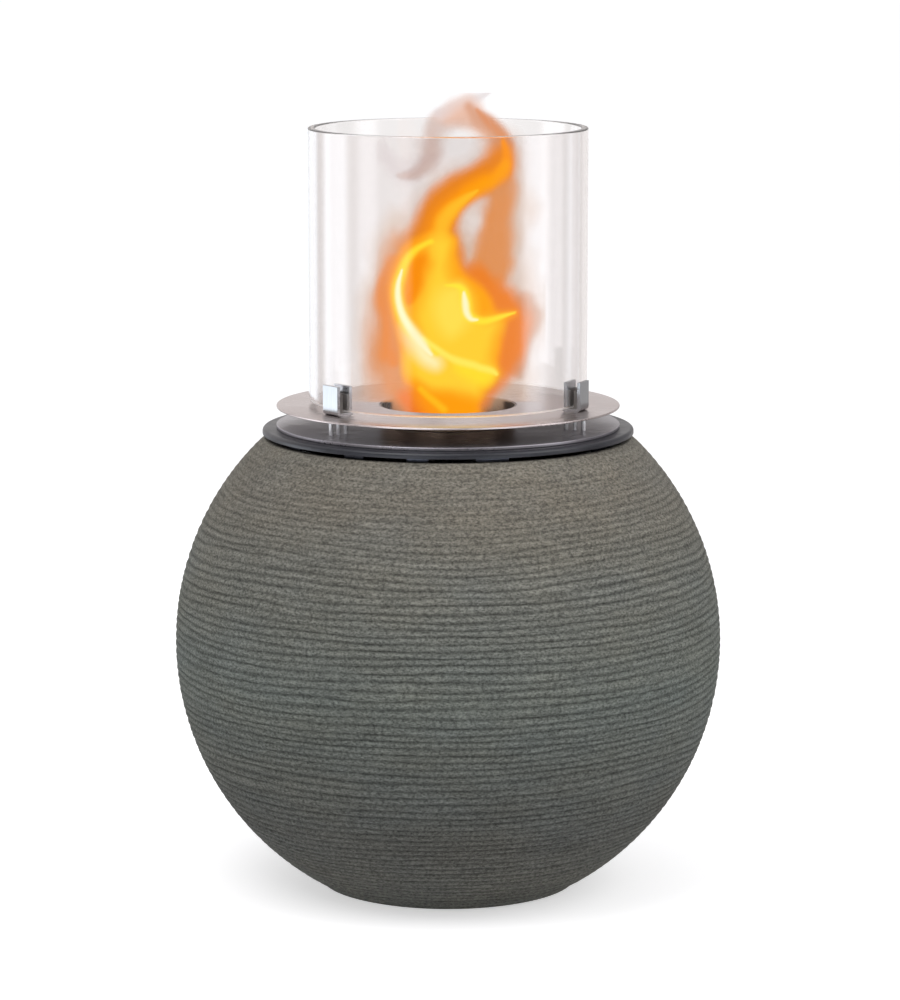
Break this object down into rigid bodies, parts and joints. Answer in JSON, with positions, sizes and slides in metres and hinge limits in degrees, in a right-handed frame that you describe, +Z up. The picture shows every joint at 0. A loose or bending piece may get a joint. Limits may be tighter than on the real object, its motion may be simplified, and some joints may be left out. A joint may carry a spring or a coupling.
{
  "type": "bioethanol fireplace",
  "caption": "Free-standing ethanol burner: hollow ball base, vented steel insert with burner discs and a lift-out fuel cup, and a clear glass cylinder held in folded clips.",
  "frame": {"origin": "on the floor, under the middle of the ball and the glass", "axes": "+Z up along the axis of the ball and the glass, -Y towards the front, +X to the right"},
  "size_m": [0.3939, 0.394, 0.5509],
  "materials": {
    "ball": "combed fibre cement, matte",
    "pad": "matte",
    "gasket": "matte silicone",
    "anthracite": "satin powder coat",
    "disc": "brushed in circles",
    "clip": "bright rolled",
    "fastener": "bright",
    "cup": "drawn",
    "liner": "matte silicone",
    "glass": "clear",
    "wick": "felted ceramic fibre"
  },
  "bodies": {
    "ball": {"ball_shell": "ball", "foot_pads": "pad", "seat_gasket": "gasket"},
    "insert": {"vent_skirt": "anthracite", "collar_plate": "anthracite", "spill_cup": "cup", "spill_cup_rivets": "fastener", "base_disc": "disc", "spacer_pins": "fastener", "top_disc": "disc", "clip_left": "clip", "clip_right": "clip", "clip_rear": "clip", "liner_left": "liner", "liner_right": "liner", "liner_rear": "liner", "clip_screws": "fastener", "screw_washers": "fastener", "screw_nuts": "fastener"},
    "glass": {"glass_cylinder": "glass"},
    "burner": {"fuel_cup": "cup", "wick": "wick", "wick_grid": "cup", "grid_ring": "cup"}
  },
  "joints": [
    {"name": "insert_lift", "type": "slide", "parent": "ball", "child": "insert", "axis": [0, 0, 1], "range_m": [0, 0.12]},
    {"name": "glass_lift", "type": "slide", "parent": "insert", "child": "glass", "axis": [0, 0, 1], "range_m": [0, 0.06]},
    {"name": "fuel_cup_lift", "type": "slide", "parent": "insert", "child": "burner", "axis": [0, 0, 1], "range_m": [0, 0.3]}
  ]
}
